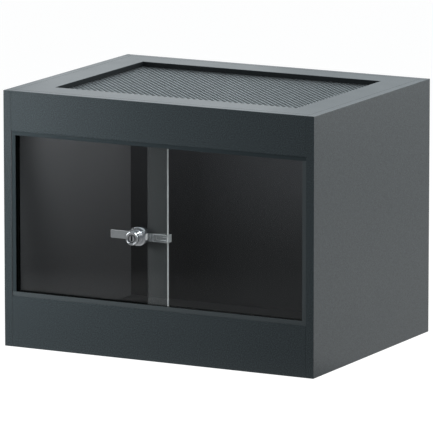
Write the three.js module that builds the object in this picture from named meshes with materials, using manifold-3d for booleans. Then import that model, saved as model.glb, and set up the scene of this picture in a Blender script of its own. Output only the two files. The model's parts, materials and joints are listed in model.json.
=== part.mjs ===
// Terrarium cabinet: a melamine box with a framed mesh top, two sliding glass doors in double plastic channels, and a
// ratchet showcase lock. Millimetres. +X is to the right, +Y to the rear, +Z up. The origin is the centre of the base.
import * as THREE from 'three';
import { mergeVertices } from 'three/addons/utils/BufferGeometryUtils.js';
import Module from 'manifold-3d';

const wasm = await Module();
wasm.setup();

// ---------------------------------------------------------------- driving dimensions

// carcass
const cabinetWidth = 600;
const cabinetDepth = 450;
const cabinetHeight = 450;
const board = 15; // melamine-faced chipboard
const topRailHeight = 70;
const bottomRailHeight = 90;
const backRebate = 10; // how far the back panel is let into each side panel

// vent opening in the top panel
const ventSideStrip = 65; // top frame to the left and right of the opening
const ventFrontStrip = 67;
const ventBackStrip = 63;
const meshThickness = 1;
const meshRim = 10; // mesh held behind the edge of the opening, all round
const meshPitch = 8.12; // between rows of square holes
const meshStrand = 2.1; // metal left between two holes
const meshCoarseness = 3; // holes are drawn this many times too large, strands with them
const battenWidth = 22;
const battenThickness = 5;

// sliding door channels, an E section with two grooves
const channelWall = 1.5;
const channelGroove = 6;
const channelMiddle = 3;
const channelHeight = 7.5;
const channelBase = 1.5;
const lowerChannelBase = 3.5;
const channelSetback = 1.5; // behind the cabinet's front face

// glass doors
const glass = 5;
const leftDoorMeetingEdge = 15; // x of the left door's right edge
const rightDoorMeetingEdge = -20; // x of the right door's left edge
const doorSideGap = 0.5; // between a door and the bottom of its side groove
const doorFootGap = 0.3; // between a door and the bottom of its lower groove
const doorLift = 4; // how far a door lifts to come out of the lower channel

// fastenings
const fit = 0.3; // clearance of a pin in its hole
const dowelRadius = 4;
const dowelLength = 30;
const dowelInSide = 10.5;
const dowelInset = 20; // from the long edges of a rail
const camRadius = 7.5;
const camDepth = 11.7;
const camRecess = 0.5;
const camDistance = 34; // from the panel's end to the middle of the cam
const floorCamInset = 60; // from the floor panel's front and back edges
const camSlotWidth = 1.4;
const camSlotLength = 9;
const camSlotDepth = 2;
const camWall = 2.4;
const boltRadius = 3;
const boltThreadRadius = 2.5;
const boltThreadLength = 11;
const boltFlangeRadius = 3.6;
const boltFlange = 1.5;
const boltNeckRadius = 2;
const boltNeck = 4.4;
const boltHeadRadius = 3.2;
const boltHead = 2.5;
const screwSink = 0.5; // screw heads below the surface
const screwHeadRadius = 3.2;
const screwHeadDepth = 2;
const screwRadius = 1.5;
const battenScrewLength = 12;
const battenScrewInset = 80; // from the ends of a long batten
const backScrewLength = 35;
const backScrewInset = 75; // from the back panel's top and bottom
const crossWidth = 0.8;
const crossLength = 3.6;
const crossDepth = 1.1;

// showcase lock: hook bar on the left door, body on the right door
const lockHeight = 214.7; // middle of the bar above the base
const barHeight = 14;
const barThickness = 2.2;
const barLength = 113.5; // from the hook's outside to the toothed end
const toothPitch = 3;
const toothDepth = 0.7;
const toothedLength = 39;
const hookPad = 0.8; // liner between the hook's web and the glass
const hookWeb = 2.2;
const hookLeg = 25;
const hookLegThickness = 2.5;
const hookPadBehind = 3.3;
const stiffenedLength = 29.7; // thicker stretch of the bar next to the hook
const stiffenedBy = 0.5;
const ribSlotWidth = 5.6;
const ribSlotLength = 21;
const ribSlotDepth = 0.6;
const drumRadius = 16.5;
const drumLength = 16;
const barrelOffset = 16; // barrel's axis to the left of the right door's edge
const barrelRise = 1.6; // barrel above the middle of the bar
const barrelRadius = 12.3;
const barrelLength = 21;
const barrelEdgeRound = 2.6;
const barrelStep = 0.6;
const barrelRings = 3;
const faceRecess = 1;
const faceRim = 3;
const bodyGap = 0.5; // between the lock body and the glass doors
const barGap = 0.45; // between the bar and its slot in the body
const plugRadius = 6.5;
const plugLength = 19;
const plugGrooveWidth = 2.4;
const plugGrooveDepth = 1.3;
const plugGrooveFromRear = 4;
const plugPinRadius = 0.9;
const keySlotWidth = 1.5;
const keySlotHeight = 7.6;
const keySlotDepth = 12;
const pawlTipRadius = 2.2;
const pawlTipGap = 0.4; // between the pawl's tip and the teeth
const pawlCollarRadius = 3.9;
const pawlCollar = 1.5;
const pawlStemRadius = 1.5;
const pawlStemInPlug = 1;
const pawlTravel = 1.5;
const pawlWall = 2.3; // between the spring chamber and the bar's slot
const springWire = 0.4; // radius
const springTurns = 5;

// flat sides that stand for a round
const castingSides = 48;
const plugSides = 32;
const camSides = 20;
const pinSides = 12;

// ---------------------------------------------------------------- worked-out places

const halfWidth = cabinetWidth / 2;
const front = -cabinetDepth / 2;
const back = cabinetDepth / 2;
const inner = halfWidth - board; // inner face of the right side panel
const railBack = front + board;
const backPanelFront = back - board;
const ceiling = cabinetHeight - board;
const openingBottom = bottomRailHeight;
const openingTop = cabinetHeight - topRailHeight;

const ventHalfWidth = halfWidth - ventSideStrip;
const ventFront = front + ventFrontStrip;
const ventBack = back - ventBackStrip;
const meshBottom = ceiling + battenThickness;

const channelDepth = 2 * channelWall + 2 * channelGroove + channelMiddle;
const channelFront = front + channelSetback;
const frontGroove = channelFront + channelWall;
const rearGroove = frontGroove + channelGroove + channelMiddle;
const glassPlay = (channelGroove - glass) / 2;
const rightDoorFront = frontGroove + glassPlay;
const rightDoorBack = rightDoorFront + glass;
const leftDoorFront = rearGroove + glassPlay;
const leftDoorBack = leftDoorFront + glass;
const doorBottom = openingBottom + lowerChannelBase + doorFootGap;
const doorTop = openingTop - channelBase - doorLift;
const doorOuterEdge = inner - channelBase - doorSideGap;

const paneGapMiddle = (rightDoorBack + leftDoorFront) / 2;
const barFront = paneGapMiddle - barThickness / 2;
const barBack = paneGapMiddle + barThickness / 2;
const barBottom = lockHeight - barHeight / 2;
const barTop = lockHeight + barHeight / 2;
const webInner = leftDoorMeetingEdge + hookPad;
const hookEnd = webInner + hookWeb;
const hookLegFront = leftDoorBack + hookPadBehind;
const hookLegBack = hookLegFront + hookLegThickness;
const barTail = hookEnd - barLength;
const bodyAxisHeight = lockHeight + barrelRise;
const bodyBack = leftDoorFront - bodyGap;
const drumFront = bodyBack - drumLength;
const barrelFront = drumFront - barrelLength;
const bodyAxis = rightDoorMeetingEdge - barrelOffset;
const bodyFlat = rightDoorMeetingEdge - bodyGap;
const slotFront = barFront - barGap;
const plugFront = barrelFront + faceRecess;
const plugBack = plugFront + plugLength;
const chamberBack = slotFront - pawlWall;
const pawlTip = barFront - pawlTipGap;
const pawlCollarBack = chamberBack - fit;
const pawlCollarFront = pawlCollarBack - pawlCollar;

// ---------------------------------------------------------------- solids

// A closed geometry as a solid: shared vertices merged, empty triangles dropped, faces turned outwards.
function solidOf(geometry) {
  const bare = new THREE.BufferGeometry();
  bare.setAttribute('position', geometry.getAttribute('position').clone());
  if (geometry.index) bare.setIndex(geometry.index.clone());
  const merged = mergeVertices(bare, 1e-5);
  const places = Float32Array.from(merged.getAttribute('position').array);
  const corners = [];
  let volume = 0;
  const a = new THREE.Vector3();
  const b = new THREE.Vector3();
  const c = new THREE.Vector3();
  for (let i = 0; i < merged.index.count; i += 3) {
    const [p, q, r] = [0, 1, 2].map((k) => merged.index.getX(i + k));
    if (p === q || q === r || r === p) continue;
    corners.push(p, q, r);
    a.fromArray(places, 3 * p);
    b.fromArray(places, 3 * q);
    c.fromArray(places, 3 * r);
    volume += a.dot(b.cross(c));
  }
  if (volume < 0) corners.reverse();
  return new wasm.Manifold(
    new wasm.Mesh({ numProp: 3, vertProperties: places, triVerts: Uint32Array.from(corners) }),
  );
}

function geometryOf(solid) {
  const { vertProperties, triVerts } = solid.getMesh();
  const geometry = new THREE.BufferGeometry();
  geometry.setAttribute('position', new THREE.BufferAttribute(Float32Array.from(vertProperties), 3));
  geometry.setIndex(Array.from(triVerts));
  geometry.computeVertexNormals();
  return geometry;
}

// A box between two corners, given in any order.
function block([x0, y0, z0], [x1, y1, z1]) {
  const geometry = new THREE.BoxGeometry(Math.abs(x1 - x0), Math.abs(y1 - y0), Math.abs(z1 - z0));
  geometry.translate((x0 + x1) / 2, (y0 + y1) / 2, (z0 + z1) / 2);
  return solidOf(geometry);
}

// Axes of an outline's plane and of the direction it is pushed or turned along.
const alongX = [new THREE.Vector3(0, 1, 0), new THREE.Vector3(0, 0, 1), new THREE.Vector3(1, 0, 0)];
const alongZ = [new THREE.Vector3(1, 0, 0), new THREE.Vector3(0, 1, 0), new THREE.Vector3(0, 0, 1)];

// A straight prism: outline points in the plane square to the axis, from one place on the axis to another.
function prism(outline, axes, from, to) {
  const shape = new THREE.Shape(outline.map(([u, v]) => new THREE.Vector2(u, v)));
  const geometry = new THREE.ExtrudeGeometry(shape, { depth: to - from, bevelEnabled: false });
  geometry.translate(0, 0, from);
  geometry.applyMatrix4(new THREE.Matrix4().makeBasis(...axes));
  return solidOf(geometry);
}

// A turned piece: [radius, place along the axis] points, round the given axis direction, standing at a point.
function turned(profile, direction, [x, y, z], sides) {
  const geometry = new THREE.LatheGeometry(profile.map(([r, t]) => new THREE.Vector2(r, t)), sides);
  const turn = new THREE.Quaternion().setFromUnitVectors(new THREE.Vector3(0, 1, 0), direction);
  geometry.applyQuaternion(turn);
  geometry.translate(x, y, z);
  return solidOf(geometry);
}

function rod(radius, length, direction, place, sides) {
  return turned([[0, 0], [radius, 0], [radius, length], [0, length]], direction, place, sides);
}

function cut(solid, tools) {
  return tools.reduce((left, tool) => left.subtract(tool), solid);
}

const outward = (side) => new THREE.Vector3(side, 0, 0);
const rearward = new THREE.Vector3(0, 1, 0);
const upward = new THREE.Vector3(0, 0, 1);
const downward = new THREE.Vector3(0, 0, -1);
const forward = new THREE.Vector3(0, -1, 0);
const sides = [-1, 1];

// ---------------------------------------------------------------- materials

const melamine = new THREE.MeshStandardMaterial({ color: 0x3b4245, roughness: 0.55, metalness: 0 });
const channelPlastic = new THREE.MeshStandardMaterial({ color: 0x2a2e31, roughness: 0.4, metalness: 0 });
const floatGlass = new THREE.MeshStandardMaterial({
  color: 0xb9c4c2, roughness: 0.05, metalness: 0, transparent: true, opacity: 0.35,
});
const meshMetal = new THREE.MeshStandardMaterial({ color: 0x8f9799, roughness: 0.45, metalness: 0.8 });
const chrome = new THREE.MeshStandardMaterial({ color: 0xc9ccce, roughness: 0.15, metalness: 1 });
const zincSteel = new THREE.MeshStandardMaterial({ color: 0xa9acab, roughness: 0.35, metalness: 1 });
const brass = new THREE.MeshStandardMaterial({ color: 0xb59a5a, roughness: 0.3, metalness: 1 });
const beech = new THREE.MeshStandardMaterial({ color: 0xb98f5e, roughness: 0.7, metalness: 0 });
const vinyl = new THREE.MeshStandardMaterial({ color: 0x1d1f20, roughness: 0.8, metalness: 0 });

const cabinet = new THREE.Group();

function add(group, name, solid, material) {
  const mesh = new THREE.Mesh(geometryOf(solid), material);
  mesh.name = name;
  group.add(mesh);
}

// ---------------------------------------------------------------- fastening places

// One place for each knock-down fitting: the panel's end it stands at, its y and the panel's underside.
const battenPocketFront = ventFront - battenWidth - fit;
const battenPocketBack = ventBack + battenWidth + fit;
const floorCams = sides.flatMap((side) => [railBack + floorCamInset, backPanelFront - floorCamInset]
  .map((y) => ({ side, y, under: 0 })));
const topCams = sides.flatMap((side) => [(railBack + battenPocketFront) / 2, (battenPocketBack + backPanelFront) / 2]
  .map((y) => ({ side, y, under: ceiling })));

const railDowels = sides.flatMap((side) => [
  dowelInset,
  bottomRailHeight - dowelInset,
  openingTop + dowelInset,
  cabinetHeight - dowelInset,
].map((z) => ({ side, z })));
const dowelY = (front + railBack) / 2;

const backScrewX = inner + backRebate / 2;
const backScrews = sides.flatMap((side) => [backScrewInset, cabinetHeight - backScrewInset].map((z) => ({ side, z })));

// ---------------------------------------------------------------- fasteners

// A countersunk screw's profile from its head down. A hole is grown by the clearance and opened above the head.
function screwProfile(length, grow) {
  const mouth = grow > 0 ? 2 * screwSink : 0;
  return [
    [0, mouth], [screwHeadRadius + grow, mouth], [screwHeadRadius + grow, -grow],
    [screwRadius + grow, -screwHeadDepth - grow], [screwRadius + grow, -length + screwRadius],
    [0, -length - grow],
  ];
}

// The screw points against `direction`, which leaves its head.
function screw(length, direction, place) {
  const [x, y, z] = place;
  const body = turned(screwProfile(length, 0), direction, place, pinSides);
  const along = direction.clone().multiplyScalar(crossDepth);
  const across = Math.abs(direction.z) > 0.5 ? rearward : upward;
  const arms = [outward(1), across].map((arm) => {
    const other = arm === across ? outward(1) : across;
    const reach = arm.clone().multiplyScalar(crossLength / 2).addScaledVector(other, crossWidth / 2).add(along);
    return block([x - reach.x, y - reach.y, z - reach.z], [x + reach.x, y + reach.y, z + reach.z]);
  });
  return cut(body, arms);
}

function screwHole(length, direction, place) {
  return turned(screwProfile(length, fit), direction, place, pinSides);
}

function dowel({ side, z }) {
  const start = side * (inner + dowelInSide);
  const bevel = dowelRadius / 5;
  return turned([
    [0, 0], [dowelRadius - bevel, 0], [dowelRadius, bevel], [dowelRadius, dowelLength - bevel],
    [dowelRadius - bevel, dowelLength], [0, dowelLength],
  ], outward(-side), [start, dowelY, z], pinSides);
}

function dowelHole({ side, z }) {
  const start = side * (inner + dowelInSide + fit);
  return rod(dowelRadius + fit, dowelLength + 2 * fit, outward(-side), [start, dowelY, z], pinSides);
}

// The cam stands in the panel's underside. It is hollow: the bolt's head goes in through a wide notch and, once the cam
// is turned a quarter, is held behind its wall, with the neck in a narrow slot.
function camNut({ side, y, under }) {
  const x = side * (inner - camDistance);
  const boltZ = under + board / 2;
  const face = under + camRecess;
  const nut = rod(camRadius, camDepth, upward, [x, y, face], camSides);
  const head = boltHeadRadius + fit;
  const neck = boltNeckRadius + fit;
  return cut(nut, [
    rod(camRadius - camWall, 2 * head, upward, [x, y, boltZ - head], camSides),
    block([x - head, y, boltZ - head], [x + head, y + 2 * camRadius, boltZ + head]),
    block([x, y - neck, boltZ - neck], [x + side * 2 * camRadius, y + 2 * camRadius, boltZ + neck]),
    block(
      [x - camSlotLength / 2, y - camSlotWidth / 2, face - camSlotDepth],
      [x + camSlotLength / 2, y + camSlotWidth / 2, face + camSlotDepth],
    ),
  ]);
}

function camBolt({ side, y, under }) {
  const start = inner + boltThreadLength;
  const heldAt = Math.sqrt((camRadius - camWall - fit) ** 2 - boltHeadRadius ** 2); // from the cam's axis
  const head = boltThreadLength + camDistance - heldAt + boltHead;
  return turned([
    [0, 0], [boltThreadRadius, 1], [boltThreadRadius, boltThreadLength],
    [boltFlangeRadius, boltThreadLength], [boltFlangeRadius, boltThreadLength + boltFlange],
    [boltRadius, boltThreadLength + boltFlange], [boltRadius, head - boltHead - boltNeck],
    [boltNeckRadius, head - boltHead - boltNeck], [boltNeckRadius, head - boltHead],
    [boltHeadRadius, head - boltHead], [boltHeadRadius, head], [0, head],
  ], outward(-side), [side * start, y, under + board / 2], pinSides);
}

// Holes for one fitting: in the side panel, and the bolt's and the cam's in the floor or top panel.
function camSideHole({ side, y, under }) {
  const depth = boltThreadLength + fit;
  const place = [side * (inner + depth), y, under + board / 2];
  return rod(boltThreadRadius + fit, 2 * depth, outward(-side), place, pinSides);
}

function camPanelHoles({ side, y, under }) {
  const x = side * (inner - camDistance);
  return [
    rod(camRadius + fit, 2 * camRecess + camDepth + fit, upward, [x, y, under - camRecess], camSides),
    rod(
      boltFlangeRadius + fit,
      camDistance + board,
      outward(-side),
      [side * (inner + board), y, under + board / 2],
      pinSides,
    ),
  ];
}

// ---------------------------------------------------------------- carcass boards

function sidePanel(side) {
  const panel = block([side * inner, front, 0], [side * halfWidth, back, cabinetHeight]);
  const rebate = block(
    [side * inner, backPanelFront, 0],
    [side * (inner + backRebate), back, cabinetHeight],
  );
  const here = (place) => place.side === side;
  return cut(panel, [
    rebate,
    ...railDowels.filter(here).map(dowelHole),
    ...[...floorCams, ...topCams].filter(here).map(camSideHole),
    ...backScrews.filter(here).map(backScrewHole),
  ]);
}

const backScrewHead = back - screwSink;
const backScrewPlace = ({ side, z }) => [side * backScrewX, backScrewHead, z];
const backScrewHole = (place) => screwHole(backScrewLength, rearward, backScrewPlace(place));
const backScrew = (place) => screw(backScrewLength, rearward, backScrewPlace(place));

function backPanel() {
  const reach = inner + backRebate;
  return cut(block([-reach, backPanelFront, 0], [reach, back, cabinetHeight]), backScrews.map(backScrewHole));
}

function rail(bottom, top) {
  const board = block([-inner, front, bottom], [inner, railBack, top]);
  return cut(board, railDowels.filter(({ z }) => z > bottom && z < top).map(dowelHole));
}

function floorPanel() {
  return cut(block([-inner, railBack, 0], [inner, backPanelFront, board]), floorCams.flatMap(camPanelHoles));
}

function topPanel() {
  const around = (margin, low, high) => block(
    [-ventHalfWidth - margin, ventFront - margin, low],
    [ventHalfWidth + margin, ventBack + margin, high],
  );
  return cut(block([-inner, railBack, ceiling], [inner, backPanelFront, cabinetHeight]), [
    around(0, ceiling - board, cabinetHeight + board),
    around(battenWidth + fit, ceiling - board, meshBottom),
    around(meshRim + fit, meshBottom - board, meshBottom + meshThickness),
    ...topCams.flatMap(camPanelHoles),
    ...battenScrewPlaces.map((place) => screwHole(battenScrewLength, downward, place)),
  ]);
}

add(cabinet, 'left_side_panel', sidePanel(-1), melamine);
add(cabinet, 'right_side_panel', sidePanel(1), melamine);
add(cabinet, 'back_panel', backPanel(), melamine);
add(cabinet, 'floor_panel', floorPanel(), melamine);
add(cabinet, 'front_bottom_rail', rail(0, bottomRailHeight), melamine);
add(cabinet, 'front_top_rail', rail(openingTop, cabinetHeight), melamine);

// ---------------------------------------------------------------- vent mesh and its battens

// A flat sheet with square holes set on their corners, the sheet's plain rim lying behind the opening's edge.
function ventMesh() {
  const middle = (ventFront + ventBack) / 2;
  const halfY = (ventBack - ventFront) / 2;
  const step = meshPitch * meshCoarseness / Math.SQRT2; // half the distance between two holes in a line
  const corner = (meshPitch - meshStrand) * meshCoarseness / Math.SQRT2; // hole's middle to its corner
  const acrossCount = Math.floor((ventHalfWidth - corner) / step);
  const alongCount = Math.floor((halfY - corner) / step);
  const holes = [];
  for (let i = -acrossCount; i <= acrossCount; i += 1) {
    for (let j = -alongCount; j <= alongCount; j += 1) {
      if ((i + j) % 2 !== 0) continue;
      const [x, y] = [i * step, middle + j * step];
      holes.push(prism(
        [[x - corner, y], [x, y - corner], [x + corner, y], [x, y + corner]],
        alongZ,
        meshBottom - meshThickness,
        meshBottom + 2 * meshThickness,
      ));
    }
  }
  const sheet = block(
    [-ventHalfWidth - meshRim, ventFront - meshRim, meshBottom],
    [ventHalfWidth + meshRim, ventBack + meshRim, meshBottom + meshThickness],
  );
  return cut(sheet, holes);
}

const battenOuterX = ventHalfWidth + battenWidth;
const battenOuterFront = ventFront - battenWidth;
const battenOuterBack = ventBack + battenWidth;
// A screw goes through a batten where it lies on the board, outside the mesh.
const battenScrewOffset = (meshRim + battenWidth) / 2;
const battenScrewHead = ceiling + screwSink;
const battenScrewPlaces = [
  ...[ventFront - battenScrewOffset, ventBack + battenScrewOffset].flatMap((y) => sides
    .map((side) => [side * (battenOuterX - battenScrewInset), y, battenScrewHead])),
  ...sides.map((side) => [side * (ventHalfWidth + battenScrewOffset), (ventFront + ventBack) / 2, battenScrewHead]),
];

function batten(from, to) {
  const strip = block([...from, ceiling], [...to, meshBottom]);
  return cut(strip, battenScrewPlaces.map((place) => screwHole(battenScrewLength, downward, place)));
}

add(cabinet, 'top_panel', topPanel(), melamine);
add(cabinet, 'vent_mesh', ventMesh(), meshMetal);
add(cabinet, 'mesh_batten_front', batten([-battenOuterX, battenOuterFront], [battenOuterX, ventFront]), melamine);
add(cabinet, 'mesh_batten_back', batten([-battenOuterX, ventBack], [battenOuterX, battenOuterBack]), melamine);
add(cabinet, 'mesh_batten_left', batten([-battenOuterX, ventFront], [-ventHalfWidth, ventBack]), melamine);
add(cabinet, 'mesh_batten_right', batten([ventHalfWidth, ventFront], [battenOuterX, ventBack]), melamine);

// ---------------------------------------------------------------- fasteners in their places

battenScrewPlaces.forEach((place, i) => {
  add(cabinet, `batten_screw_${i + 1}`, screw(battenScrewLength, downward, place), zincSteel);
});
backScrews.forEach((place, i) => add(cabinet, `back_screw_${i + 1}`, backScrew(place), zincSteel));
floorCams.forEach((place, i) => {
  add(cabinet, `floor_cam_nut_${i + 1}`, camNut(place), zincSteel);
  add(cabinet, `floor_cam_bolt_${i + 1}`, camBolt(place), zincSteel);
});
topCams.forEach((place, i) => {
  add(cabinet, `top_cam_nut_${i + 1}`, camNut(place), zincSteel);
  add(cabinet, `top_cam_bolt_${i + 1}`, camBolt(place), zincSteel);
});
railDowels.forEach((place, i) => add(cabinet, `rail_dowel_${i + 1}`, dowel(place), beech));

// ---------------------------------------------------------------- door channels

// The E section: v runs from the fixed face to the tips of the three walls, u from front to back.
function channelSection(base, place) {
  const walls = [
    [0, channelWall],
    [channelWall + channelGroove, channelMiddle],
    [channelWall + channelGroove + channelMiddle + channelGroove, channelWall],
  ];
  const outline = [[0, 0], [channelDepth, 0]];
  for (const [start, width] of walls.reverse()) {
    if (start + width < channelDepth) outline.push([start + width, base]);
    outline.push([start + width, channelHeight], [start, channelHeight]);
    if (start > 0) outline.push([start, base]);
  }
  return outline.map(([u, v]) => place(channelFront + u, v));
}

const lowerTrack = prism(channelSection(lowerChannelBase, (y, v) => [y, openingBottom + v]), alongX, -inner, inner);
const upperTrack = prism(channelSection(channelBase, (y, v) => [y, openingTop - v]), alongX, -inner, inner);
const sideChannel = (side) => prism(
  channelSection(channelBase, (y, v) => [side * (inner - v), y]),
  alongZ,
  openingBottom + channelHeight,
  openingTop - channelHeight,
);
add(cabinet, 'lower_door_track', lowerTrack, channelPlastic);
add(cabinet, 'upper_door_track', upperTrack, channelPlastic);
add(cabinet, 'left_door_channel', sideChannel(-1), channelPlastic);
add(cabinet, 'right_door_channel', sideChannel(1), channelPlastic);

// ---------------------------------------------------------------- glass doors

const leftDoor = new THREE.Group();
const rightDoor = new THREE.Group();
cabinet.add(leftDoor, rightDoor);

function pane(from, to, faceY) {
  return block([from, faceY, doorBottom], [to, faceY + glass, doorTop]);
}

add(leftDoor, 'left_glass_door', pane(-doorOuterEdge, leftDoorMeetingEdge, leftDoorFront), floatGlass);
add(rightDoor, 'right_glass_door', pane(rightDoorMeetingEdge, doorOuterEdge, rightDoorFront), floatGlass);

// ---------------------------------------------------------------- lock: hook bar and liner, on the left door

// Seen from above: the toothed tail, the thicker stretch, the web round the glass edge, and the leg behind the glass.
function hookBar() {
  const round = barThickness / 2;
  const outline = [[barTail, barBack], [barTail, barFront + toothDepth]];
  const teeth = Math.floor(toothedLength / toothPitch);
  for (let i = 0; i < teeth; i += 1) {
    const x = barTail + i * toothPitch;
    outline.push([x + toothPitch * 0.7, barFront], [x + toothPitch, barFront + toothDepth]);
  }
  const stiffenedFrom = hookEnd - stiffenedLength;
  outline.push(
    [barTail + teeth * toothPitch + toothDepth, barFront],
    [stiffenedFrom, barFront], [stiffenedFrom + stiffenedBy, barFront - stiffenedBy],
    [hookEnd - round, barFront - stiffenedBy], [hookEnd, barFront - stiffenedBy + round],
    [hookEnd, hookLegBack - round], [hookEnd - round, hookLegBack],
    [hookEnd - hookLeg, hookLegBack], [hookEnd - hookLeg, hookLegFront],
    [webInner, hookLegFront], [webInner, barBack],
  );
  const bar = prism(outline, alongZ, barBottom, barTop);
  const slotHalf = ribSlotWidth / 2;
  const slotEnd = webInner - ribSlotLength + slotHalf;
  const slotDeep = barFront - stiffenedBy + ribSlotDepth;
  return cut(bar, [
    block([slotEnd, slotDeep, lockHeight - slotHalf], [webInner, slotDeep - barThickness, lockHeight + slotHalf]),
    rod(slotHalf, barThickness, forward, [slotEnd, slotDeep, lockHeight], plugSides),
  ]);
}

function barPad() {
  const legEnd = hookEnd - hookLeg;
  return prism([
    [legEnd, barBack], [webInner, barBack], [webInner, hookLegFront], [legEnd, hookLegFront],
    [legEnd, leftDoorBack], [leftDoorMeetingEdge, leftDoorBack],
    [leftDoorMeetingEdge, leftDoorFront], [legEnd, leftDoorFront],
  ], alongZ, barBottom, barTop);
}

add(leftDoor, 'lock_hook_bar', hookBar(), chrome);
add(leftDoor, 'lock_bar_pad', barPad(), vinyl);

// ---------------------------------------------------------------- lock: body, plug and pawl, on the right door

const lockPlace = (y) => [bodyAxis, y, bodyAxisHeight];

function lockBody() {
  const bore = plugRadius + fit;
  const chamber = pawlCollarRadius + fit;
  const guide = pawlTipRadius + fit;
  const drumEdge = 0.8;
  const ringPitch = (barrelFront + barrelEdgeRound - drumFront) / (barrelRings + 1);
  const profile = [
    [guide, bodyBack], [drumRadius, bodyBack], [drumRadius, drumFront + drumEdge], [drumRadius - drumEdge, drumFront],
    [barrelRadius + barrelStep, drumFront],
  ];
  for (let i = 1; i <= barrelRings; i += 1) {
    const y = drumFront + i * ringPitch;
    profile.push(
      [barrelRadius, y + 2 * barrelStep], [barrelRadius - barrelStep, y],
      [barrelRadius, y - barrelStep],
    );
  }
  for (let i = 0; i <= 4; i += 1) {
    const angle = i * Math.PI / 8;
    profile.push([
      barrelRadius - barrelEdgeRound * (1 - Math.cos(angle)),
      barrelFront + barrelEdgeRound * (1 - Math.sin(angle)),
    ]);
  }
  profile.push(
    [barrelRadius - faceRim, barrelFront + faceRecess], [bore, barrelFront + faceRecess],
    [bore, plugBack + fit], [chamber, plugBack + fit], [chamber, chamberBack], [guide, chamberBack],
    [guide, bodyBack],
  );
  const casting = turned(profile, rearward, lockPlace(0), castingSides);
  return cut(casting, [
    block([bodyFlat, barrelFront, 0], [bodyFlat + 2 * drumRadius, bodyBack + board, cabinetHeight]),
    block(
      [bodyAxis - 2 * drumRadius, slotFront, barBottom - barGap],
      [bodyAxis + 2 * drumRadius, bodyBack + board, barTop + barGap],
    ),
    rod(plugPinRadius + fit, drumRadius, downward, lockPlace(plugBack - plugGrooveFromRear), pinSides),
  ]);
}

function plug() {
  const grooveRadius = plugRadius - plugGrooveDepth;
  const groove = plugBack - plugGrooveFromRear;
  const stemHole = pawlStemRadius + fit;
  const stemHoleEnd = plugBack - pawlStemInPlug - pawlTravel - fit;
  const body = turned([
    [0, plugFront], [plugRadius - fit, plugFront], [plugRadius, plugFront + fit],
    [plugRadius, groove - plugGrooveWidth / 2], [grooveRadius, groove - plugGrooveWidth / 2],
    [grooveRadius, groove + plugGrooveWidth / 2], [plugRadius, groove + plugGrooveWidth / 2],
    [plugRadius, plugBack], [stemHole, plugBack], [stemHole, stemHoleEnd], [0, stemHoleEnd],
  ], rearward, lockPlace(0), plugSides);
  return cut(body, [block(
    [bodyAxis - keySlotWidth / 2, plugFront - faceRecess, bodyAxisHeight - keySlotHeight / 2],
    [bodyAxis + keySlotWidth / 2, plugFront + keySlotDepth, bodyAxisHeight + keySlotHeight / 2],
  )]);
}

function plugPin() {
  const top = plugRadius - plugGrooveDepth + fit;
  const length = barrelRadius - barrelStep - top;
  const [x, y, z] = lockPlace(plugBack - plugGrooveFromRear);
  return rod(plugPinRadius, length, downward, [x, y, z - top], pinSides);
}

function pawl() {
  return turned([
    [0, plugBack - pawlStemInPlug], [pawlStemRadius, plugBack - pawlStemInPlug], [pawlStemRadius, pawlCollarFront],
    [pawlCollarRadius, pawlCollarFront], [pawlCollarRadius, pawlCollarBack], [pawlTipRadius, pawlCollarBack],
    [pawlTipRadius, pawlTip - toothDepth], [pawlTipRadius / 3, pawlTip], [0, pawlTip],
  ], rearward, lockPlace(0), camSides);
}

// A coil of round wire between the plug's rear end and the pawl's collar.
function pawlSpring() {
  const coil = (pawlStemRadius + pawlCollarRadius) / 2 + springWire / 2;
  const from = plugBack + fit + springWire;
  const to = pawlCollarFront - fit - springWire;
  const stepsPerTurn = 8;
  const wireSides = 5;
  const helix = new THREE.Curve();
  helix.getPoint = (t) => new THREE.Vector3(
    bodyAxis + coil * Math.cos(2 * Math.PI * springTurns * t),
    from + (to - from) * t,
    bodyAxisHeight + coil * Math.sin(2 * Math.PI * springTurns * t),
  );
  const wire = new THREE.Shape(Array.from({ length: wireSides }, (_, i) => new THREE.Vector2(
    springWire * Math.cos(2 * Math.PI * i / wireSides),
    springWire * Math.sin(2 * Math.PI * i / wireSides),
  )));
  return solidOf(new THREE.ExtrudeGeometry(wire, {
    steps: springTurns * stepsPerTurn, bevelEnabled: false, extrudePath: helix,
  }));
}

add(rightDoor, 'lock_body', lockBody(), chrome);
add(rightDoor, 'lock_plug', plug(), chrome);
add(rightDoor, 'lock_plug_pin', plugPin(), zincSteel);
add(rightDoor, 'lock_pawl', pawl(), brass);
add(rightDoor, 'lock_spring', pawlSpring(), zincSteel);

export default cabinet;
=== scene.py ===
"""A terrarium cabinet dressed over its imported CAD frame: melamine boards, a punched mesh top, glass doors in
plastic channels and a chrome showcase lock. Metres, +X to the right, +Y to the rear, +Z up."""

import json
import math

import bmesh
import bpy
from mathutils import Matrix, Quaternion, Vector

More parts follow.
